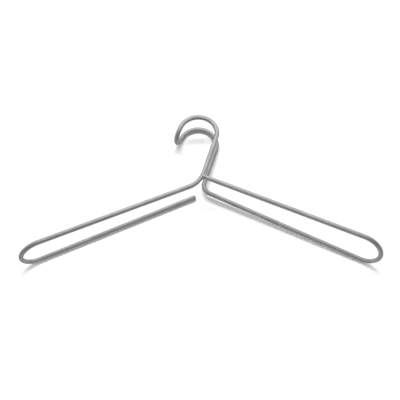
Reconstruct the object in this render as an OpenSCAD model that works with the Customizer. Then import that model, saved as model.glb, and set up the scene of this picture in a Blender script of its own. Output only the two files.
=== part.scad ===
// Trouser hanger bent from one length of round stainless rod.
// It lies on its back on a floor: +X runs to the right, +Y towards the hook, +Z up.
// The rod runs from its bare end along the rear left bar, round the left end,
// back along the front left bar, up the front neck and round the hook, through
// the tip bend, back round the hook and down the rear neck, out along the rear
// right bar, round the right end and back along the front right bar, which is
// welded to the shoulder. Every stretch between two bends is one sub-part.

/* [Rod] */
// Diameter of the rod
rod_d = 6; // [4:0.5:8]

/* [Hook] */
// Radius of the hook, to the middle of the rod
hook_bend_r = 24.4; // [20:0.2:30]
// Turn of the hook from the neck to its tip, in degrees
hook_turn = 171; // [155:1:180]
// Distance between the front and rear halves of the hook, middle to middle
hook_depth = 29.4; // [24:0.2:36]

/* [Neck] */
// Length of the neck from the shoulder corner to the hook
neck_len = 71; // [60:1:85]
// Lean of the neck to the side, in degrees
neck_lean = 16.2; // [12:0.2:20]
// Slope of the neck and hook down towards the hook's top, in degrees
neck_slope = 3; // [2:0.5:5]
// Radius of the bend at the shoulder, to the middle of the rod
shoulder_bend_r = 36; // [28:1:42]
// Radius of the bend at the foot of the rear neck, to the middle of the rod
foot_bend_r = 13; // [10:0.5:16]
// Height of the rear neck's corner above the shoulder corner, along the neck
foot_corner_up = 6.4; // [4:0.2:10]

/* [Arms] */
// Fall of the arms from level, in degrees
arm_fall = 24.8; // [20:0.2:30]
// Distance along an arm from its corner at the neck to the middle of its end bend
arm_reach = 222; // [180:1:240]
// Radius of the bends at the ends of the arms, to the middle of the rod
end_bend_r = 24.1; // [22:0.1:28]
// Distance from the tip of the rod's bare end to the shoulder corner, along the arm
entry_gap = 6.5; // [4:0.5:20]

/* [Weld] */
// Turn along the shoulder bend from the neck to the weld, in degrees
weld_turn = 10; // [8:1:16]
// How far the weld bead stands proud of the welded bar
weld_proud = 0.7; // [0.4:0.1:1]
// Root gap between the end of the welded bar and the shoulder
weld_root = 0.3; // [0.2:0.05:0.5]

/* [Hidden] */
$fn = 128;
rod_r = rod_d / 2;
floor_up = [0, 0, 1];

// Hook plane: u across, v up the neck, w from the rear half to the front half.
// The rear half of the hook touches the floor at its top.
hook_mid_u = neck_len * sin(neck_lean) - hook_bend_r * cos(neck_lean);
hook_mid_v = neck_len * cos(neck_lean) + hook_bend_r * sin(neck_lean);
hook_foot_z = rod_r + (hook_mid_v + hook_bend_r) * sin(neck_slope);

function unit(v) = v / norm(v);
function along_hook(u, v, w) =
    [u, v * cos(neck_slope) + w * sin(neck_slope), w * cos(neck_slope) - v * sin(neck_slope)];
function in_hook(u, v, w) = [0, 0, hook_foot_z] + along_hook(u, v, w);

neck_dir = along_hook(sin(neck_lean), cos(neck_lean), 0);
hook_front_mid = in_hook(hook_mid_u, hook_mid_v, hook_depth);
hook_rear_mid = in_hook(hook_mid_u, hook_mid_v, 0);
hook_start_u = along_hook(cos(neck_lean), -sin(neck_lean), 0);
hook_tip_angle = hook_turn - neck_lean;
hook_tip_u = along_hook(cos(hook_tip_angle), sin(hook_tip_angle), 0);
hook_tip_dir = along_hook(-sin(hook_tip_angle), cos(hook_tip_angle), 0);
hook_front_dir = along_hook(0, 0, 1);
tip_bend_mid = hook_rear_mid + hook_bend_r * hook_tip_u + hook_depth / 2 * hook_front_dir;

// Corners where the straight middle lines of the rod would meet
shoulder_corner = in_hook(0, 0, hook_depth);
foot_corner = in_hook(0, 0, 0) + foot_corner_up * neck_dir;

// A bend of radius r rounds a corner between the directions a and b
function corner_angle(a, b) = acos(a * b);
function setback(a, b, r) = r / tan(corner_angle(a, b) / 2);
function bend_mid(corner, a, b, r) = corner + unit(a + b) * r / sin(corner_angle(a, b) / 2);

// Direction angle and length of the straight that runs from p and touches an
// end bend centred at c, both in the plane of the bend. side is 1 over it, -1 under.
function touch_angle(p, c, side) =
    atan2(c.y - p.y, c.x - p.x) + side * asin(end_bend_r / norm(c - p));
function touch_len(p, c) = sqrt(pow(norm(c - p), 2) - pow(end_bend_r, 2));

// Left arm: its end bend stands upright on the floor, under the shoulder corner
left_out = [-cos(arm_fall), -sin(arm_fall), 0];
left_mid_z = rod_r + end_bend_r;
left_mid = [shoulder_corner.x, shoulder_corner.y, left_mid_z] + arm_reach * left_out;
left_from = [0, shoulder_corner.z];
left_to = [arm_reach, left_mid_z];
left_rise = touch_angle(left_from, left_to, 1);
left_front_dir = cos(left_rise) * left_out + sin(left_rise) * floor_up;
left_front_end = shoulder_corner + touch_len(left_from, left_to) * left_front_dir;
left_foot = left_mid - end_bend_r * floor_up;
left_bar_len = arm_reach - entry_gap;

// Shoulder bend, and the point of it that the front right bar is welded to
shoulder_mid = bend_mid(shoulder_corner, left_front_dir, neck_dir, shoulder_bend_r);
shoulder_set = setback(left_front_dir, neck_dir, shoulder_bend_r);
neck_front_start = shoulder_corner + shoulder_set * neck_dir;
left_front_start = shoulder_corner + shoulder_set * left_front_dir;
shoulder_turn = 180 - corner_angle(left_front_dir, neck_dir);
shoulder_u = unit(neck_front_start - shoulder_mid);
shoulder_v = -neck_dir;
weld_point = shoulder_mid
    + shoulder_bend_r * (cos(weld_turn) * shoulder_u + sin(weld_turn) * shoulder_v);

// Right arm: its end bend lies in the plane through the foot corner, the weld
// and the level line along the arm, and touches the floor at its lowest point
right_out = [cos(arm_fall), -sin(arm_fall), 0];
weld_from_foot = weld_point - foot_corner;
weld_out = weld_from_foot * right_out;
right_up = unit(weld_from_foot - weld_out * right_out);
weld_up = weld_from_foot * right_up;
right_mid_up = end_bend_r + (rod_r - foot_corner.z) / right_up.z;
right_mid = foot_corner + arm_reach * right_out + right_mid_up * right_up;
right_to = [arm_reach, right_mid_up];
right_rear_angle = touch_angle([0, 0], right_to, -1);
right_rear_dir = cos(right_rear_angle) * right_out + sin(right_rear_angle) * right_up;
right_rear_end = foot_corner + touch_len([0, 0], right_to) * right_rear_dir;
right_front_angle = touch_angle([weld_out, weld_up], right_to, 1);
right_front_dir = cos(right_front_angle) * right_out + sin(right_front_angle) * right_up;
right_front_end = weld_point + touch_len([weld_out, weld_up], right_to) * right_front_dir;
right_turn = 180 + right_front_angle - right_rear_angle;
right_bar_end = weld_point + (rod_r + weld_root) * right_front_dir;

// Bend at the foot of the rear neck
foot_mid = bend_mid(foot_corner, neck_dir, right_rear_dir, foot_bend_r);
foot_set = setback(neck_dir, right_rear_dir, foot_bend_r);
neck_rear_start = foot_corner + foot_set * neck_dir;
right_rear_start = foot_corner + foot_set * right_rear_dir;
foot_turn = 180 - corner_angle(neck_dir, right_rear_dir);
foot_u = unit(neck_rear_start - foot_mid);

// Middle of the hanger's outline on the floor, which becomes the origin.
// A bend reaches its radius times the sine of the angle from its own normal.
function bend_reach(normal, axis) = end_bend_r * sqrt(1 - pow(normal * axis, 2)) + rod_r;
right_normal = cross(right_out, right_up);
left_normal = cross(left_out, floor_up);
low_x = left_mid.x - bend_reach(left_normal, [1, 0, 0]);
high_x = right_mid.x + bend_reach(right_normal, [1, 0, 0]);
low_y = min(left_mid.y - bend_reach(left_normal, [0, 1, 0]),
    right_mid.y - bend_reach(right_normal, [0, 1, 0]));
high_y = hook_front_mid.y + hook_bend_r * cos(neck_slope) + rod_r;
outline_mid = [(low_x + high_x) / 2, (low_y + high_y) / 2, 0];

// Places what is drawn upright at p so that it points along d
module aim(p, d) {
    translate(p)
        rotate([0, acos(d.z / norm(d)), atan2(d.y, d.x)])
            children();
}

// Straight stretch of rod from a to b
module rod(a, b) {
    aim(a, b - a)
        cylinder(h = norm(b - a), r = rod_r);
}

// Quarter round of radius r, turned about the upright axis to make a half ball
module quarter_round(r) {
    intersection() {
        circle(r = r);
        square(r);
    }
}

// Bent stretch of rod round mid, from the direction u towards the direction v
module bend(mid, u, v, r, turn) {
    w = cross(u, v);
    multmatrix([[u.x, v.x, w.x, mid.x], [u.y, v.y, w.y, mid.y], [u.z, v.z, w.z, mid.z]])
        rotate_extrude(angle = turn)
            translate([r, 0])
                circle(r = rod_r);
}

module centred() {
    translate(-outline_mid) children();
}

// Rear left bar, on the floor, with its bare end rounded over to a half ball
module left_rear_bar() {
    color("silver")
        centred()
            aim(left_foot, -left_out)
                rotate_extrude() {
                    square([rod_r, left_bar_len - rod_r]);
                    translate([0, left_bar_len - rod_r])
                        quarter_round(rod_r);
                }
}

module left_end_bend() {
    color("silver")
        centred()
            bend(left_mid, -floor_up, left_out, end_bend_r, 180 + left_rise);
}

module left_front_bar() {
    color("silver")
        centred()
            rod(left_front_end, left_front_start);
}

module shoulder_bend() {
    color("silver")
        centred()
            bend(shoulder_mid, shoulder_u, shoulder_v, shoulder_bend_r, shoulder_turn);
}

module front_neck() {
    color("silver")
        centred()
            rod(neck_front_start, hook_front_mid + hook_bend_r * hook_start_u);
}

module hook_front_arc() {
    color("silver")
        centred()
            bend(hook_front_mid, hook_start_u, neck_dir, hook_bend_r, hook_turn);
}

module hook_tip_bend() {
    color("silver")
        centred()
            bend(tip_bend_mid, hook_front_dir, hook_tip_dir, hook_depth / 2, 180);
}

module hook_rear_arc() {
    color("silver")
        centred()
            bend(hook_rear_mid, hook_start_u, neck_dir, hook_bend_r, hook_turn);
}

module rear_neck() {
    color("silver")
        centred()
            rod(neck_rear_start, hook_rear_mid + hook_bend_r * hook_start_u);
}

module neck_foot_bend() {
    color("silver")
        centred()
            bend(foot_mid, foot_u, -neck_dir, foot_bend_r, foot_turn);
}

module right_rear_bar() {
    color("silver")
        centred()
            rod(right_rear_start, right_rear_end);
}

module right_end_bend() {
    start_u = unit(right_rear_end - right_mid);
    color("silver")
        centred()
            bend(right_mid, start_u, right_rear_dir, end_bend_r, right_turn);
}

// Front right bar, cut square a root gap short of the shoulder
module right_front_bar() {
    color("silver")
        centred()
            rod(right_bar_end, right_front_end);
}

// Weld bead that fills the joint from the bar's square end down on to the shoulder
module bar_end_weld() {
    color("darkgray")
        difference() {
            centred()
                aim(right_bar_end, -right_front_dir)
                    rotate_extrude()
                        quarter_round(rod_r + weld_proud);
            shoulder_bend();
            front_neck();
        }
}

left_rear_bar();
left_end_bend();
left_front_bar();
shoulder_bend();
front_neck();
hook_front_arc();
hook_tip_bend();
hook_rear_arc();
rear_neck();
neck_foot_bend();
right_rear_bar();
right_end_bend();
right_front_bar();
bar_end_weld();
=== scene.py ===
"""Dresses the bent-rod trouser hanger: every stretch of the rod is fed and bent anew, smoothly."""
import math
from typing import NamedTuple

import bpy
from bpy.props import FloatProperty, FloatVectorProperty, IntProperty, PointerProperty
from mathutils import Euler, Matrix, Vector


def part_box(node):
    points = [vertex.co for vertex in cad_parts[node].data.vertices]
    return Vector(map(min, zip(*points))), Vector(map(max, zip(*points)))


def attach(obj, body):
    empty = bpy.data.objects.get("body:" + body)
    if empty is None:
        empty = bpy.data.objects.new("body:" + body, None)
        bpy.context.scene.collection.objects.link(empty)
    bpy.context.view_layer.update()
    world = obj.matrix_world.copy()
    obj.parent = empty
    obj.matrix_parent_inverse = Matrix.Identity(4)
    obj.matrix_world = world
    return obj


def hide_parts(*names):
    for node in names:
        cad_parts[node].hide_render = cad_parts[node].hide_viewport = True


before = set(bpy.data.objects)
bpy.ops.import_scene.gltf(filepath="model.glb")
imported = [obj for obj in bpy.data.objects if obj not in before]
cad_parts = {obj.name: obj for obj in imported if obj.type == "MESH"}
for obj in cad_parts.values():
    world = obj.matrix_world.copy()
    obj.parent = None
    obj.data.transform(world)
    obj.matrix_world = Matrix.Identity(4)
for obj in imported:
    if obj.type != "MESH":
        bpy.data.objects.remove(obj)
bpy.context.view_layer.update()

bl_info = {
    "name": "Bent-rod trouser hanger",
    "version": (1, 0, 0),
    "blender": (4, 5, 0),
    "location": "View3D > Sidebar > Hanger",
    "description": "Models a trouser hanger bent from one rod, with its finish, floor, light and camera",
    "category": "Object",
}

UP = Vector((0, 0, 1))
# How far a piece may lie off its node
SEAT_TOLERANCE = 0.0001
# Points closer together than this are merged
MERGE_DISTANCE = 0.000001
# Edges flatter than these are shaded smooth
ROD_SMOOTH_ANGLE = math.radians(40)
BEAD_SMOOTH_ANGLE = math.radians(50)
# The bends that turn further than this are the ones that reach furthest to each side
ROUND_TURN = math.radians(162)
# The turn over which a bend's strain grows from nothing to its full amount
STRAIN_FADE = math.radians(9)
# Radius at which the weld bead starts, just under the bar's skin, as a share of the rod's radius
BEAD_FOOT = 0.98
# How far the bead laps on to the bar, as a multiple of how far it stands proud of it
BEAD_LAP = 1.6

# Attributes of the rod's pieces that its finish follows
STRAIGHT_ROD = "straight_rod"
BEND_STRAIN = "bend_strain"

# How many spots of each noise of the finishes there are in a metre
PATCHES_PER_METRE = 380
DRIFTS_PER_METRE = 55
PEEL_PER_METRE = 2400
GRIT_PER_METRE = 2600
SCRATCHES_PER_METRE = 5200
# What these counts are multiplied by along each axis, where a pattern is drawn out
PATCH_DRAW = (1, 1, 0.4)
LINE_DRAW = (1, 1, 0.01)
SCRATCH_DRAW = (1, 0.08, 1)
# Shares of the patterns in the rod's tone, and the range of the tone that runs from dark to light
PATCH_SHARE = 0.45
DRIFT_SHARE = 0.3
LINE_SHARE = 0.25
TONE_RANGE = (0.4, 0.6)
# How much the patterns and the bends' strain change the roughness
PATCH_ROUGHNESS = 0.07
LINE_ROUGHNESS = 0.05
STRAIN_ROUGHNESS = 0.04
SCRATCH_ROUGHNESS = 0.07
# Strengths of the relief
LINE_RELIEF = 0.8
PEEL_RELIEF = 0.3
GRIT_RELIEF = 0.6
# How many times deeper than the rod's lines the weld's grit is
GRIT_DEPTH = 3

# Sockets of the Mix node when it mixes colours
MIX_FACTOR, MIX_FIRST, MIX_SECOND, MIX_RESULT = 0, 6, 7, 2

# A small lamp's light on a level floor falls off with about this power of the distance
KEY_FALL_OFF = 3.0
# Open share of the side towards the lamp, from where the shadow shows in full to plain white
SHADE_EDGE = (0.86, 0.95)
SHADE_SAMPLES = 32
# Strength of the plain white beyond the shadow
PLAIN_WHITE = 1.02
# How far to each side of its middle the room goes from dark to bright
ROOM_BLEND = 0.7
# Where the backdrop has faded out, as a multiple of the height of its top
BACKDROP_FADE = 1.5
# How far the camera sees, past the corners of the floor
VIEW_DEPTH = 100.0
PHOTO_WIDTH = 400


def length_value(name, description, default):
    return FloatProperty(name=name, description=description, default=default, min=0.0, precision=5,
                         subtype="DISTANCE", unit="LENGTH")


def angle_value(name, description, degrees):
    return FloatProperty(name=name, description=description, default=math.radians(degrees),
                         subtype="ANGLE", unit="ROTATION")


def color_value(name, description, default):
    return FloatVectorProperty(name=name, description=description, default=default, min=0.0,
                               soft_max=1.0, size=3, subtype="COLOR")


def share_value(name, description, default):
    return FloatProperty(name=name, description=description, default=default, min=0.0)


def count_value(name, description, default, least):
    return IntProperty(name=name, description=description, default=default, min=least)


class HangerSizes(bpy.types.PropertyGroup):
    """Sizes of the bent rod, to the middle of the rod where a radius or a length is meant."""
    rod_diameter: length_value("Rod diameter", "Diameter of the round rod", 0.006)
    hook_radius: length_value("Hook radius", "Radius of both halves of the hook", 0.0244)
    hook_turn: angle_value("Hook turn", "Turn of the hook from the neck to its tip", 171)
    hook_depth: length_value("Hook depth", "Distance between the two halves of the hook", 0.0294)
    neck_length: length_value("Neck length", "Length from the shoulder corner to the hook", 0.071)
    neck_lean: angle_value("Neck lean", "Lean of the neck to the side", 16.2)
    neck_slope: angle_value("Neck slope", "Slope of the neck down towards the hook's top", 3)
    shoulder_radius: length_value("Shoulder radius", "Radius of the bend at the shoulder", 0.036)
    foot_radius: length_value("Foot radius", "Radius of the bend at the foot of the rear neck", 0.013)
    foot_corner_up: length_value("Foot corner height", "Rear corner above the shoulder corner", 0.0064)
    arm_fall: angle_value("Arm fall", "Fall of the arms from level", 24.8)
    arm_reach: length_value("Arm reach", "Length from an arm's corner to its end bend's middle", 0.222)
    end_radius: length_value("End radius", "Radius of the bends at the ends of the arms", 0.0241)
    entry_gap: length_value("Entry gap", "Distance from the bare end to the shoulder corner", 0.0065)
    weld_turn: angle_value("Weld turn", "Turn along the shoulder bend from the neck to the weld", 10)
    weld_proud: length_value("Weld height", "How far the weld bead stands proud of the bar", 0.0007)
    weld_root: length_value("Weld root gap", "Gap between the welded bar and the shoulder", 0.0003)


class HangerMesh(bpy.types.PropertyGroup):
    """How finely the pieces are divided."""
    sides: count_value("Sides", "Sides of the rod's round section", 64, least=16)
    bend_step: angle_value("Bend step", "Largest turn between two rings of a bend", 2)
    feed_step: length_value("Feed step", "Largest distance between two rings of a straight", 0.012)
    tip_rings: count_value("Tip rings", "Rings of the rounded bare end", 12, least=4)
    bead_rings: count_value("Bead rings", "Rings of the weld bead", 20, least=8)


class HangerFinish(bpy.types.PropertyGroup):
    """Colours and finishes of the drawn steel rod and of the weld."""
    steel_color: color_value("Steel", "Colour of the satin rod", (0.4, 0.4, 0.4))
    steel_roughness: share_value("Steel roughness", "Mean roughness of the satin rod", 0.7)
    mottle: share_value("Mottle", "How much the rod's tone varies from patch to patch", 0.16)
    line_width: length_value("Line width", "Width of the fine lines left by drawing the rod", 0.00014)
    line_depth: length_value("Line depth", "Depth of the lines left by drawing the rod", 0.000007)
    weld_color: color_value("Weld", "Colour of the dressed weld bead", (0.4, 0.4, 0.4))
    weld_roughness: share_value("Weld roughness", "Mean roughness of the weld bead", 0.66)
    weld_mottle: share_value("Weld mottle", "How much the weld's tone varies", 0.15)


class HangerStage(bpy.types.PropertyGroup):
    """The floor, the light and the camera."""
    floor_color: color_value("Floor", "Colour of the plain floor", (1.0, 1.0, 1.0))
    floor_seen: share_value("Floor as seen", "Level of the lit floor as it is looked at", 1.45)
    shade_reach: length_value("Shade reach", "How far from the hanger its shadow shows", 0.023)
    floor_size: length_value("Floor size", "Side of the square floor", 40.0)
    key_level: share_value("Key level", "Level that the main light alone gives a white floor", 0.66)
    key_width: angle_value("Key width", "How wide the main light looks from the hanger", 50)
    key_depth: angle_value("Key depth", "How deep the main light looks, from front to back", 14)
    key_tilt: angle_value("Key tilt", "Main light's tilt back from overhead", 33)
    key_side: angle_value("Key side", "Main light's turn to the left, about the hanger", 4)
    key_distance: length_value("Key distance", "From the hanger to the main light", 0.72)
    sky_back: share_value("Back of the room", "Brightness of the room beyond the hook", 0.67)
    sky_front: share_value("Front of the room", "Brightness of the room on the camera's side", 0.0)
    sky_tilt: angle_value("Room tilt", "Tilt of the room's bright side back from overhead", 60)
    sky_level: share_value("Room level", "Level that the room alone gives a white floor", 0.5)
    backdrop_top: angle_value("Backdrop top", "Height of the backdrop round the floor's edge", 9)
    camera_height: angle_value("Camera height", "The camera's angle above the floor", 62.889)
    camera_side: angle_value("Camera side", "The camera's turn round the hanger", 0.4974)
    camera_distance: length_value("Camera distance", "From the camera to what it looks at", 1.9134)
    view_scale: share_value("View scale", "Pixels in a metre at the point looked at", 771.16)
    view_x: FloatProperty(name="View X", description="Point looked at on the floor", default=-0.00206,
                          precision=5, subtype="DISTANCE", unit="LENGTH")
    view_y: FloatProperty(name="View Y", description="Point looked at on the floor", default=-0.00373,
                          precision=5, subtype="DISTANCE", unit="LENGTH")


class Stretch(NamedTuple):
    """One straight or bent stretch of the rod. A straight has no turn, radius, centre or axis."""
    name: str
    start: Vector
    heading: Vector
    side: Vector
    fed: float
    length: float
    turn: float = 0.0
    radius: float = 0.0
    centre: Vector = None
    axis: Vector = None


class Rod:
    """Follows the rod from its bare end, as a bending machine feeds and bends it."""

    def __init__(self, start, heading, side):
        self.at = start
        self.heading = heading.normalized()
        self.side = side.normalized()
        self.fed = 0.0
        self.stretches = {}

    def feed(self, name, length):
        """Feeds a straight length on."""
        self.stretches[name] = Stretch(name, self.at, self.heading, self.side, self.fed, length)
        self.at = self.at + self.heading * length
        self.fed += length

    def bend(self, name, radius, turn, towards):
        """Feeds on round a bend that starts out towards a direction."""
        inwards = (towards - towards.dot(self.heading) * self.heading).normalized()
        centre = self.at + radius * inwards
        axis = self.heading.cross(inwards)
        self.stretches[name] = Stretch(name, self.at, self.heading, self.side, self.fed,
                                       radius * turn, turn, radius, centre, axis)
        spin = Matrix.Rotation(turn, 3, axis)
        self.at = centre + spin @ (self.at - centre)
        self.heading = spin @ self.heading
        self.side = spin @ self.side
        self.fed += radius * turn


def setback(back, ahead, radius):
    """How far before its corner a bend starts, between the directions away from the corner."""
    return radius / math.tan(back.angle(ahead) / 2)


def bend_middle(corner, back, ahead, radius):
    return corner + (back + ahead).normalized() * radius / math.sin(back.angle(ahead) / 2)


def touch(out_to, up_to, radius, over):
    """Rise and length of the straight that touches a bend with its middle out_to away, up_to above."""
    away = math.hypot(out_to, up_to)
    rise = math.atan2(up_to, out_to) + (1 if over else -1) * math.asin(radius / away)
    return rise, math.sqrt(away ** 2 - radius ** 2)


def bent_rod(sizes):
    """The rod's stretches by name and its far end, with the outline's middle over the origin."""
    r = sizes.rod_diameter / 2
    lean, slope = sizes.neck_lean, sizes.neck_slope
    across = Vector((1, 0, 0))
    up_neck = Vector((0, math.cos(slope), -math.sin(slope)))
    to_front = across.cross(up_neck)
    neck = math.sin(lean) * across + math.cos(lean) * up_neck
    off_neck = math.cos(lean) * across - math.sin(lean) * up_neck
    # The necks slope down until the hook's top touches the floor
    hook_top = sizes.neck_length * math.cos(lean) + sizes.hook_radius * (1 + math.sin(lean))
    foot = Vector((0, 0, r + hook_top * math.sin(slope)))
    shoulder_corner = foot + sizes.hook_depth * to_front
    foot_corner = foot + sizes.foot_corner_up * neck

    # The left arm stands upright on its end bend
    left_out = Vector((-math.cos(sizes.arm_fall), -math.sin(sizes.arm_fall), 0))
    left_middle = shoulder_corner + sizes.arm_reach * left_out
    left_middle.z = r + sizes.end_radius
    left_rise, left_touch = touch(sizes.arm_reach, left_middle.z - shoulder_corner.z,
                                  sizes.end_radius, over=True)
    left_front = math.cos(left_rise) * left_out + math.sin(left_rise) * UP
    shoulder_set = setback(left_front, neck, sizes.shoulder_radius)
    shoulder_middle = bend_middle(shoulder_corner, left_front, neck, sizes.shoulder_radius)
    neck_start = shoulder_corner + shoulder_set * neck
    to_neck_start = (neck_start - shoulder_middle).normalized()
    weld_point = shoulder_middle + sizes.shoulder_radius * (
        math.cos(sizes.weld_turn) * to_neck_start - math.sin(sizes.weld_turn) * neck)

    # The right arm lies in the plane through the foot's corner and the weld
    right_out = Vector((math.cos(sizes.arm_fall), -math.sin(sizes.arm_fall), 0))
    weld_from_foot = weld_point - foot_corner
    weld_out = weld_from_foot.dot(right_out)
    right_up = (weld_from_foot - weld_out * right_out).normalized()
    weld_up = weld_from_foot.dot(right_up)
    middle_up = sizes.end_radius + (r - foot_corner.z) / right_up.z
    rear_rise, rear_touch = touch(sizes.arm_reach, middle_up, sizes.end_radius, over=False)
    front_rise, front_touch = touch(sizes.arm_reach - weld_out, middle_up - weld_up,
                                    sizes.end_radius, over=True)
    right_rear = math.cos(rear_rise) * right_out + math.sin(rear_rise) * right_up
    foot_set = setback(neck, right_rear, sizes.foot_radius)

    rear_run = sizes.arm_reach - sizes.entry_gap
    rod = Rod(left_middle - sizes.end_radius * UP - rear_run * left_out, left_out, UP)
    rod.feed("left_rear_bar", rear_run)
    rod.bend("left_end_bend", sizes.end_radius, math.pi + left_rise, UP)
    rod.feed("left_front_bar", left_touch - shoulder_set)
    rod.bend("shoulder_bend", sizes.shoulder_radius, math.pi - left_front.angle(neck), neck)
    rod.feed("front_neck", sizes.neck_length - shoulder_set)
    rod.bend("hook_front_arc", sizes.hook_radius, sizes.hook_turn, -off_neck)
    to_hook_middle = (rod.stretches["hook_front_arc"].centre - rod.at).normalized()
    rod.bend("hook_tip_bend", sizes.hook_depth / 2, math.pi, -to_front)
    rod.bend("hook_rear_arc", sizes.hook_radius, sizes.hook_turn, to_hook_middle)
    rod.feed("rear_neck", sizes.neck_length - sizes.foot_corner_up - foot_set)
    rod.bend("neck_foot_bend", sizes.foot_radius, math.pi - neck.angle(right_rear), right_rear)
    rod.feed("right_rear_bar", rear_touch - foot_set)
    rod.bend("right_end_bend", sizes.end_radius, math.pi + front_rise - rear_rise, right_up)
    rod.feed("right_front_bar", front_touch - r - sizes.weld_root)

    low, high = outline_corners(rod.stretches.values(), r)
    shift = -(low + high) / 2
    shift.z = 0
    moved = {name: stretch._replace(start=stretch.start + shift,
                                    centre=stretch.centre + shift if stretch.centre else None)
             for name, stretch in rod.stretches.items()}
    return moved, rod.at + shift


def outline_corners(stretches, r):
    """Lowest and highest corner that the rod reaches, which its nearly half-round bends give."""
    low = Vector((math.inf,) * 3)
    high = Vector((-math.inf,) * 3)
    for stretch in stretches:
        if stretch.turn < ROUND_TURN:
            continue
        for i in range(3):
            reach = stretch.radius * math.sqrt(1 - stretch.axis[i] ** 2) + r
            low[i] = min(low[i], stretch.centre[i] - reach)
            high[i] = max(high[i], stretch.centre[i] + reach)
    return low, high


def end_of(stretch):
    """Where a stretch ends, and the heading and side it has there."""
    if not stretch.turn:
        return stretch.start + stretch.length * stretch.heading, stretch.heading, stretch.side
    spin = Matrix.Rotation(stretch.turn, 3, stretch.axis)
    end = stretch.centre + spin @ (stretch.start - stretch.centre)
    return end, spin @ stretch.heading, spin @ stretch.side


def deselect_all():
    if bpy.context.object and bpy.context.object.mode == "EDIT":
        bpy.ops.object.mode_set(mode="OBJECT")
    bpy.ops.object.select_all(action="DESELECT")


def start_section(name, at, heading, side, radius, sides):
    """Adds the rod's round section as a filled circle and leaves it selected in edit mode."""
    deselect_all()
    stand = Matrix((side, heading.cross(side), heading)).transposed()
    bpy.ops.mesh.primitive_circle_add(vertices=sides, radius=radius, fill_type="NGON",
                                      location=at, rotation=stand.to_euler())
    piece = bpy.context.object
    piece.name = name
    piece.data.name = name
    bpy.ops.object.transform_apply(location=True, rotation=True, scale=True)
    bpy.ops.object.mode_set(mode="EDIT")
    bpy.ops.mesh.select_all(action="SELECT")
    return piece


def feed_on(step):
    bpy.ops.mesh.extrude_region_move(TRANSFORM_OT_translate={"value": step})


def feed_straight(run, heading, mesh):
    steps = max(1, math.ceil(run / mesh.feed_step))
    for _ in range(steps):
        feed_on(heading * (run / steps))


def round_over(middle, heading, outline):
    """Feeds on through pairs of run past the middle and radius, and closes the last one to a point."""
    run, radius = outline[0]
    for next_run, next_radius in outline[1:-1]:
        feed_on(heading * (next_run - run))
        bpy.ops.transform.resize(value=(next_radius / radius,) * 3,
                                 center_override=middle + heading * next_run)
        run, radius = next_run, next_radius
    feed_on(heading * (outline[-1][0] - run))
    bpy.ops.mesh.merge(type="COLLAPSE")


def close_piece(smooth_angle):
    """Merges what the operators left double, turns the faces outwards and smooths them."""
    bpy.ops.mesh.select_all(action="SELECT")
    bpy.ops.mesh.remove_doubles(threshold=MERGE_DISTANCE)
    bpy.ops.mesh.normals_make_consistent(inside=False)
    bpy.ops.mesh.select_all(action="DESELECT")
    bpy.ops.object.mode_set(mode="OBJECT")
    bpy.ops.object.shade_smooth_by_angle(angle=smooth_angle)


def straight_piece(stretch, r, mesh):
    piece = start_section(stretch.name, stretch.start, stretch.heading, stretch.side, r, mesh.sides)
    feed_straight(stretch.length, stretch.heading, mesh)
    close_piece(ROD_SMOOTH_ANGLE)
    return piece


def bent_piece(stretch, r, mesh):
    piece = start_section(stretch.name, stretch.start, stretch.heading, stretch.side, r, mesh.sides)
    steps = math.ceil(stretch.turn / mesh.bend_step)
    bpy.ops.mesh.spin(steps=steps, angle=-stretch.turn, center=stretch.centre, axis=stretch.axis)
    close_piece(ROD_SMOOTH_ANGLE)
    return piece


def bare_end_piece(stretch, r, mesh):
    """The first bar, fed from its outer end, with the bare end rounded over to a half ball."""
    outer, heading, side = end_of(stretch)
    piece = start_section(stretch.name, outer, -heading, side, r, mesh.sides)
    run = stretch.length - r
    feed_straight(run, -heading, mesh)
    angles = [math.pi / 2 * ring / mesh.tip_rings for ring in range(mesh.tip_rings + 1)]
    half_ball = [(r * math.sin(angle), r * math.cos(angle)) for angle in angles]
    round_over(outer - heading * run, -heading, half_ball)
    close_piece(ROD_SMOOTH_ANGLE)
    return piece


def along_rod(stretch, point):
    """A point's way along a stretch and offset from its middle, and the heading and side there."""
    if not stretch.turn:
        away = point - stretch.start
        run = away.dot(stretch.heading)
        return run, away - run * stretch.heading, stretch.heading, stretch.side
    inwards = (stretch.centre - stretch.start).normalized()
    arm = point - stretch.centre
    angle = math.atan2(arm.dot(stretch.heading), -arm.dot(inwards)) % math.tau
    if angle > (stretch.turn + math.tau) / 2:
        angle -= math.tau
    spin = Matrix.Rotation(angle, 3, stretch.axis)
    offset = arm + stretch.radius * (spin @ inwards)
    return stretch.radius * angle, offset, spin @ stretch.heading, spin @ stretch.side


def mark_rod(piece, stretch):
    """Writes where each point would lie on the unbent rod, and how far a bend stretched it there."""
    piece.data.attributes.new(STRAIGHT_ROD, "FLOAT_VECTOR", "POINT")
    piece.data.attributes.new(BEND_STRAIN, "FLOAT", "POINT")
    straight = piece.data.attributes[STRAIGHT_ROD]
    strain = piece.data.attributes[BEND_STRAIN]
    for i, vertex in enumerate(piece.data.vertices):
        run, offset, heading, side = along_rod(stretch, vertex.co)
        third = heading.cross(side)
        straight.data[i].vector = (offset.dot(side), offset.dot(third), stretch.fed + run)
        if stretch.turn:
            angle = run / stretch.radius
            grown = max(0.0, min(STRAIN_FADE, angle, stretch.turn - angle)) / STRAIN_FADE
            outwards = offset.dot(heading.cross(stretch.axis)) / offset.length
            strain.data[i].value = outwards * grown


def seat(piece, node, slot):
    """Checks that a piece lies where its CAD node does, and puts it in the node's place."""
    low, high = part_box(node)
    for i in range(3):
        reach = [vertex.co[i] for vertex in piece.data.vertices]
        off = max(abs(min(reach) - low[i]), abs(max(reach) - high[i]))
        if off > SEAT_TOLERANCE:
            raise RuntimeError(f"{piece.name} lies {off * 1000:.2f} mm off its node")
    dress(piece, node, slot)


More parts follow.
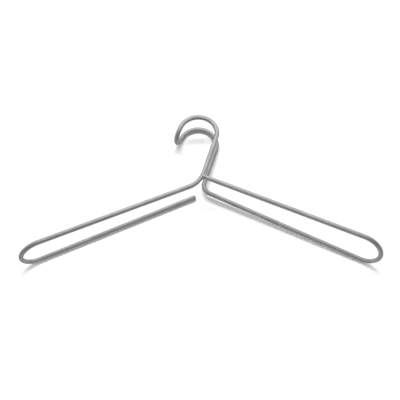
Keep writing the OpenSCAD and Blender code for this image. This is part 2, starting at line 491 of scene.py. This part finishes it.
def dress(piece, node, slot):
    """Gives a piece its slot's finish, hangs it under the root body and hides the node that it stands
    for.
    """
    piece.data.materials.clear()
    piece.data.materials.append(finish_of(slot))
    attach(piece, "root")
    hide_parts(node)


def finish_of(slot):
    """A slot's material, which has the name of the function that makes it and is made once."""
    make = {"rod": satin_steel, "weld": weld_steel}[slot]
    return bpy.data.materials.get(make.__name__) or make(bpy.context.scene.hanger_finish)


def opaque(color, factor=1.0):
    """A colour times a factor, in the four numbers that a socket takes."""
    return (*(part * factor for part in color), 1.0)


class NodeBench:
    """Adds and joins the nodes of a material or a world."""

    def __init__(self, owner):
        owner.use_nodes = True
        self.tree = owner.node_tree
        self.tree.nodes.clear()

    def add(self, kind, **settings):
        node = self.tree.nodes.new(kind)
        for key, value in settings.items():
            setattr(node, key, value)
        return node

    def put(self, node, **values):
        """Sets sockets by their names, written with _ for a space."""
        for key, value in values.items():
            node.inputs[key.replace("_", " ")].default_value = value
        return node

    def feed(self, value, socket):
        """Joins another socket to this one, or sets a plain value on it."""
        if isinstance(value, bpy.types.NodeSocket):
            self.tree.links.new(value, socket)
        else:
            socket.default_value = value

    def attribute(self, name, output):
        return self.add("ShaderNodeAttribute", attribute_name=name).outputs[output]

    def noise(self, vector, per_metre, draw=(1, 1, 1), detail=2.0):
        mapping = self.put(self.add("ShaderNodeMapping"), Scale=draw)
        self.feed(vector, mapping.inputs["Vector"])
        texture = self.put(self.add("ShaderNodeTexNoise"), Scale=per_metre, Detail=detail)
        self.feed(mapping.outputs["Vector"], texture.inputs["Vector"])
        return texture.outputs["Fac"]

    def spread(self, source, low, high, from_low=0.3, from_high=0.7):
        """Maps a range of a source, by itself the usual range of a noise, to low and high."""
        node = self.add("ShaderNodeMapRange")
        self.put(node, From_Min=from_low, From_Max=from_high, To_Min=low, To_Max=high)
        self.feed(source, node.inputs["Value"])
        return node.outputs["Result"]

    def math(self, operation, first, second=0.0):
        node = self.add("ShaderNodeMath", operation=operation)
        self.feed(first, node.inputs[0])
        self.feed(second, node.inputs[1])
        return node.outputs["Value"]

    def vector_math(self, operation, output, *values):
        node = self.add("ShaderNodeVectorMath", operation=operation)
        for value, socket in zip(values, node.inputs):
            self.feed(value, socket)
        return node.outputs[output]

    def scaled(self, color, factor):
        """A colour times a factor, which may pass 1."""
        node = self.put(self.add("ShaderNodeVectorMath", operation="SCALE"), Vector=tuple(color))
        self.feed(factor, node.inputs["Scale"])
        return node.outputs["Vector"]

    def between(self, factor, first, second):
        """A colour on the way from the first to the second."""
        node = self.add("ShaderNodeMix", data_type="RGBA")
        self.feed(factor, node.inputs[MIX_FACTOR])
        self.feed(first, node.inputs[MIX_FIRST])
        self.feed(second, node.inputs[MIX_SECOND])
        return node.outputs[MIX_RESULT]

    def relief(self, height, strength, distance, over=None):
        """A bumped normal, over an earlier one where it is given."""
        node = self.put(self.add("ShaderNodeBump"), Strength=strength, Distance=distance)
        self.feed(height, node.inputs["Height"])
        if over:
            self.feed(over, node.inputs["Normal"])
        return node.outputs["Normal"]

    def metal(self, color, roughness, normal):
        node = self.put(self.add("ShaderNodeBsdfPrincipled"), Metallic=1.0)
        self.feed(color, node.inputs["Base Color"])
        self.feed(roughness, node.inputs["Roughness"])
        self.feed(normal, node.inputs["Normal"])
        return node.outputs["BSDF"]

    def diffuse(self, color):
        node = self.add("ShaderNodeBsdfDiffuse")
        self.feed(color, node.inputs["Color"])
        return node.outputs["BSDF"]

    def mix(self, factor, first, second):
        node = self.add("ShaderNodeMixShader")
        for value, socket in zip((factor, first, second), node.inputs):
            self.feed(value, socket)
        return node.outputs["Shader"]

    def show(self, shader, kind="ShaderNodeOutputMaterial"):
        self.feed(shader, self.add(kind).inputs["Surface"])


def satin_steel(finish):
    """Drawn and satin-finished steel: fine lines along the rod, and a soft mottle."""
    material = bpy.data.materials.new("satin_steel")
    bench = NodeBench(material)
    place = bench.attribute(STRAIGHT_ROD, "Vector")
    strain = bench.attribute(BEND_STRAIN, "Fac")
    lines = bench.noise(place, 1 / finish.line_width, LINE_DRAW, detail=3.0)
    patches = bench.noise(place, PATCHES_PER_METRE, PATCH_DRAW, detail=4.0)
    drift = bench.noise(place, DRIFTS_PER_METRE)
    peel = bench.noise(place, PEEL_PER_METRE)

    tone = bench.math("ADD", bench.math("MULTIPLY", patches, PATCH_SHARE),
                      bench.math("MULTIPLY", drift, DRIFT_SHARE))
    tone = bench.math("ADD", tone, bench.math("MULTIPLY", lines, LINE_SHARE))
    color = bench.between(bench.spread(tone, 0, 1, *TONE_RANGE),
                          opaque(finish.steel_color, 1 - finish.mottle),
                          opaque(finish.steel_color, 1 + finish.mottle))

    rough = finish.steel_roughness
    roughness = bench.spread(patches, rough - PATCH_ROUGHNESS, rough + PATCH_ROUGHNESS)
    roughness = bench.math("ADD", roughness, bench.spread(lines, -LINE_ROUGHNESS, LINE_ROUGHNESS))
    strained = bench.math("MULTIPLY", bench.math("ABSOLUTE", strain), STRAIN_ROUGHNESS)
    roughness = bench.math("ADD", roughness, strained)

    drawn = bench.relief(lines, LINE_RELIEF, finish.line_depth)
    outer_peel = bench.math("MULTIPLY", peel, bench.math("MAXIMUM", strain, 0))
    peeled = bench.relief(outer_peel, PEEL_RELIEF, finish.line_depth, over=drawn)
    bench.show(bench.metal(color, roughness, peeled))
    return material


def weld_steel(finish):
    """The weld bead, dressed back to a dull even grey with a few scratches."""
    material = bpy.data.materials.new("weld_steel")
    bench = NodeBench(material)
    place = bench.add("ShaderNodeTexCoord").outputs["Object"]
    grit = bench.noise(place, GRIT_PER_METRE, detail=4.0)
    scratches = bench.noise(place, SCRATCHES_PER_METRE, SCRATCH_DRAW, detail=3.0)
    color = bench.between(bench.spread(grit, 0, 1),
                          opaque(finish.weld_color, 1 - finish.weld_mottle),
                          opaque(finish.weld_color, 1 + finish.weld_mottle))
    rough = finish.weld_roughness
    roughness = bench.spread(scratches, rough - SCRATCH_ROUGHNESS, rough + SCRATCH_ROUGHNESS)
    gritty = bench.relief(bench.math("ADD", grit, scratches), GRIT_RELIEF,
                          finish.line_depth * GRIT_DEPTH)
    bench.show(bench.metal(color, roughness, gritty))
    return material


def model_stretches(scene, names):
    """Models the named stretches, puts them in their nodes' places and dresses them."""
    sizes, mesh = scene.hanger_sizes, scene.hanger_mesh
    stretches, _ = bent_rod(sizes)
    r = sizes.rod_diameter / 2
    for name in names:
        stretch = stretches[name]
        model = bent_piece if stretch.turn else straight_piece
        if name == "left_rear_bar":
            model = bare_end_piece
        piece = model(stretch, r, mesh)
        mark_rod(piece, stretch)
        piece.name = name + "_rod"
        seat(piece, name, "rod")


class HANGER_OT_bare_end_bar(bpy.types.Operator):
    """Model the rear left bar with its rounded bare end"""
    bl_idname = "hanger.bare_end_bar"
    bl_label = "Bare End Bar"

    def execute(self, context):
        model_stretches(context.scene, ["left_rear_bar"])
        return {"FINISHED"}


class HANGER_OT_arm_bars(bpy.types.Operator):
    """Model the three other straight bars of the arms"""
    bl_idname = "hanger.arm_bars"
    bl_label = "Arm Bars"

    def execute(self, context):
        model_stretches(context.scene, ["left_front_bar", "right_rear_bar", "right_front_bar"])
        return {"FINISHED"}


class HANGER_OT_end_bends(bpy.types.Operator):
    """Model the bends at the ends of the two arms"""
    bl_idname = "hanger.end_bends"
    bl_label = "End Bends"

    def execute(self, context):
        model_stretches(context.scene, ["left_end_bend", "right_end_bend"])
        return {"FINISHED"}


class HANGER_OT_necks(bpy.types.Operator):
    """Model the front and rear necks"""
    bl_idname = "hanger.necks"
    bl_label = "Necks"

    def execute(self, context):
        model_stretches(context.scene, ["front_neck", "rear_neck"])
        return {"FINISHED"}


class HANGER_OT_neck_bends(bpy.types.Operator):
    """Model the shoulder bend and the bend at the foot of the rear neck"""
    bl_idname = "hanger.neck_bends"
    bl_label = "Neck Bends"

    def execute(self, context):
        model_stretches(context.scene, ["shoulder_bend", "neck_foot_bend"])
        return {"FINISHED"}


class HANGER_OT_hook(bpy.types.Operator):
    """Model the two halves of the hook and the bend at its tip"""
    bl_idname = "hanger.hook"
    bl_label = "Hook"

    def execute(self, context):
        model_stretches(context.scene, ["hook_front_arc", "hook_tip_bend", "hook_rear_arc"])
        return {"FINISHED"}


def bead_outline(sizes, rings):
    """Pairs of run past the bar's end and radius: the lap on the bar, and then a half ball."""
    foot_radius = sizes.rod_diameter / 2 * BEAD_FOOT
    bead_radius = sizes.rod_diameter / 2 + sizes.weld_proud
    lap = sizes.weld_proud * BEAD_LAP
    outline = []
    for ring in range(rings + 1):
        angle = math.pi * (ring / rings)
        if angle < math.pi / 2:
            outline.append((-lap * math.cos(angle),
                            foot_radius + (bead_radius - foot_radius) * math.sin(angle)))
        else:
            outline.append((-bead_radius * math.cos(angle), bead_radius * math.sin(angle)))
    return outline


class HANGER_OT_weld_bead(bpy.types.Operator):
    """Model the weld bead between the front right bar and the shoulder bend"""
    bl_idname = "hanger.weld_bead"
    bl_label = "Weld Bead"

    def execute(self, context):
        sizes, mesh = context.scene.hanger_sizes, context.scene.hanger_mesh
        stretches, end = bent_rod(sizes)
        bar = stretches["right_front_bar"]
        outline = bead_outline(sizes, mesh.bead_rings)
        run, radius = outline[0]
        piece = start_section("bar_end_weld_bead", end + bar.heading * run, bar.heading, bar.side,
                              radius, mesh.sides)
        round_over(end, bar.heading, outline)
        close_piece(BEAD_SMOOTH_ANGLE)
        for name in ("shoulder_bend_rod", "front_neck_rod", "right_front_bar_rod"):
            cut = piece.modifiers.new("seat_on_" + name, "BOOLEAN")
            cut.operation = "DIFFERENCE"
            cut.solver = "EXACT"
            cut.object = bpy.data.objects[name]
            bpy.ops.object.modifier_apply(modifier=cut.name)
        dress(piece, "bar_end_weld", "weld")
        return {"FINISHED"}


def key_place(stage):
    """Where the main light hangs, and how it is turned to look at the hanger."""
    turn = Euler((-stage.key_tilt, 0, stage.key_side))
    return turn.to_matrix() @ Vector((0, 0, stage.key_distance)), turn


def floor_material(stage):
    """A plain white floor, which lights the hanger as a white floor does.

    Where it is looked at, by the camera or in a glossy or clear surface, its colour is evened against
    the main light's fall-off. There it keeps the shadow near the hanger and is plain white beyond.
    """
    material = bpy.data.materials.new("plain_floor")
    bench = NodeBench(material)
    place = bench.add("ShaderNodeTexCoord").outputs["Object"]
    to_key = bench.vector_math("SUBTRACT", "Vector", key_place(stage)[0], place)
    far = bench.vector_math("LENGTH", "Value", to_key)
    key = bench.math("POWER", bench.math("DIVIDE", stage.key_distance, far), KEY_FALL_OFF)
    lit = bench.math("ADD", bench.math("MULTIPLY", key, stage.key_level), stage.sky_level)
    evened = bench.diffuse(
        bench.scaled(stage.floor_color, bench.math("DIVIDE", stage.floor_seen, lit)))
    white = bench.put(bench.add("ShaderNodeEmission"), Color=opaque(stage.floor_color),
                      Strength=PLAIN_WHITE)

    shade = bench.put(bench.add("ShaderNodeAmbientOcclusion", samples=SHADE_SAMPLES),
                      Distance=stage.shade_reach)
    bench.feed(bench.vector_math("NORMALIZE", "Vector", to_key), shade.inputs["Normal"])
    beyond = bench.spread(shade.outputs["AO"], 0, 1, *SHADE_EDGE)
    as_seen = bench.mix(beyond, evened, white.outputs["Emission"])

    path = bench.add("ShaderNodeLightPath").outputs
    looked_at = bench.math("MAXIMUM", path["Is Camera Ray"], path["Is Transmission Ray"])
    looked_at = bench.math("MAXIMUM", looked_at, path["Is Glossy Ray"])
    bench.show(bench.mix(looked_at, bench.diffuse(opaque(stage.floor_color)), as_seen))
    return material


def lay_floor(stage):
    deselect_all()
    bpy.ops.mesh.primitive_plane_add(size=stage.floor_size)
    floor = bpy.context.object
    floor.name = "plain_floor"
    floor.data.materials.append(floor_material(stage))


def hang_key(stage):
    """A soft oval lamp, with the power that gives a white floor at the hanger the key level."""
    place, turn = key_place(stage)
    bpy.ops.object.light_add(type="AREA", location=place, rotation=turn)
    key = bpy.context.object
    key.name = "key_light"
    key.data.shape = "ELLIPSE"
    key.data.size = 2 * stage.key_distance * math.tan(stage.key_width / 2)
    key.data.size_y = 2 * stage.key_distance * math.tan(stage.key_depth / 2)
    key.data.energy = (stage.key_level * (math.pi * stage.key_distance) ** 2
                       / math.cos(stage.key_tilt))


def light_room(scene, stage):
    """A soft plain room over a white backdrop: bright beyond the hook and dark on the camera's side."""
    world = bpy.data.worlds.new("soft_room")
    scene.world = world
    bench = NodeBench(world)
    direction = bench.add("ShaderNodeTexCoord").outputs["Generated"]
    bright_side = (0, math.sin(stage.sky_tilt), math.cos(stage.sky_tilt))
    towards = bench.vector_math("DOT_PRODUCT", "Value", direction, bright_side)
    room = bench.spread(towards, stage.sky_front, stage.sky_back, -ROOM_BLEND, ROOM_BLEND)
    parts = bench.add("ShaderNodeSeparateXYZ")
    bench.feed(direction, parts.inputs["Vector"])
    edge = math.sin(stage.backdrop_top)
    backdrop = bench.spread(parts.outputs["Z"], 1, 0, edge, edge * BACKDROP_FADE)
    to_white = bench.math("MULTIPLY", backdrop, bench.math("SUBTRACT", 1.0, room))
    background = bench.put(bench.add("ShaderNodeBackground"), Color=(1, 1, 1, 1))
    bench.feed(bench.math("ADD", room, to_white), background.inputs["Strength"])
    bench.show(background.outputs["Background"], "ShaderNodeOutputWorld")


def set_camera(scene, stage):
    """The camera at the photograph's angle, with the lens that gives its scale."""
    target = Vector((stage.view_x, stage.view_y, 0))
    height, side = stage.camera_height, stage.camera_side
    back = Vector((math.sin(side) * math.cos(height), -math.cos(side) * math.cos(height),
                   math.sin(height)))
    right = Vector((math.cos(side), math.sin(side), 0))
    bpy.ops.object.camera_add()
    camera = bpy.context.object
    camera.name = "photo_camera"
    camera.matrix_world = Matrix.Translation(target + stage.camera_distance * back) @ Matrix(
        (right, back.cross(right), back)).transposed().to_4x4()
    camera.data.sensor_fit = "HORIZONTAL"
    focal_pixels = stage.view_scale * stage.camera_distance
    camera.data.lens = focal_pixels * camera.data.sensor_width / PHOTO_WIDTH
    camera.data.clip_end = VIEW_DEPTH
    scene.camera = camera


class HANGER_OT_stage(bpy.types.Operator):
    """Lay the floor, light the room and set the camera"""
    bl_idname = "hanger.stage"
    bl_label = "Stage"

    def execute(self, context):
        scene = context.scene
        lay_floor(scene.hanger_stage)
        hang_key(scene.hanger_stage)
        light_room(scene, scene.hanger_stage)
        set_camera(scene, scene.hanger_stage)
        scene.view_settings.view_transform = "Standard"
        return {"FINISHED"}


class HANGER_PT_panel(bpy.types.Panel):
    """Lists the hanger's values and pieces"""
    bl_label = "Trouser Hanger"
    bl_idname = "HANGER_PT_panel"
    bl_space_type = "VIEW_3D"
    bl_region_type = "UI"
    bl_category = "Hanger"

    def draw(self, context):
        for name, group in GROUPS.items():
            box = self.layout.box()
            for key in group.__annotations__:
                box.prop(getattr(context.scene, name), key)
        for operator in OPERATORS:
            self.layout.operator(operator.bl_idname)


OPERATORS = (HANGER_OT_bare_end_bar, HANGER_OT_arm_bars, HANGER_OT_end_bends, HANGER_OT_necks,
             HANGER_OT_neck_bends, HANGER_OT_hook, HANGER_OT_weld_bead, HANGER_OT_stage)
GROUPS = {"hanger_sizes": HangerSizes, "hanger_mesh": HangerMesh, "hanger_finish": HangerFinish,
          "hanger_stage": HangerStage}


def register():
    for cls in (*GROUPS.values(), *OPERATORS, HANGER_PT_panel):
        bpy.utils.register_class(cls)
    for name, group in GROUPS.items():
        setattr(bpy.types.Scene, name, PointerProperty(type=group))


def unregister():
    for name in GROUPS:
        delattr(bpy.types.Scene, name)
    for cls in reversed((*GROUPS.values(), *OPERATORS, HANGER_PT_panel)):
        bpy.utils.unregister_class(cls)


def main():
    register()
    bpy.ops.hanger.bare_end_bar()
    bpy.ops.hanger.arm_bars()
    bpy.ops.hanger.end_bends()
    bpy.ops.hanger.necks()
    bpy.ops.hanger.neck_bends()
    bpy.ops.hanger.hook()
    bpy.ops.hanger.weld_bead()
    bpy.ops.hanger.stage()


if __name__ == "__main__":
    main()
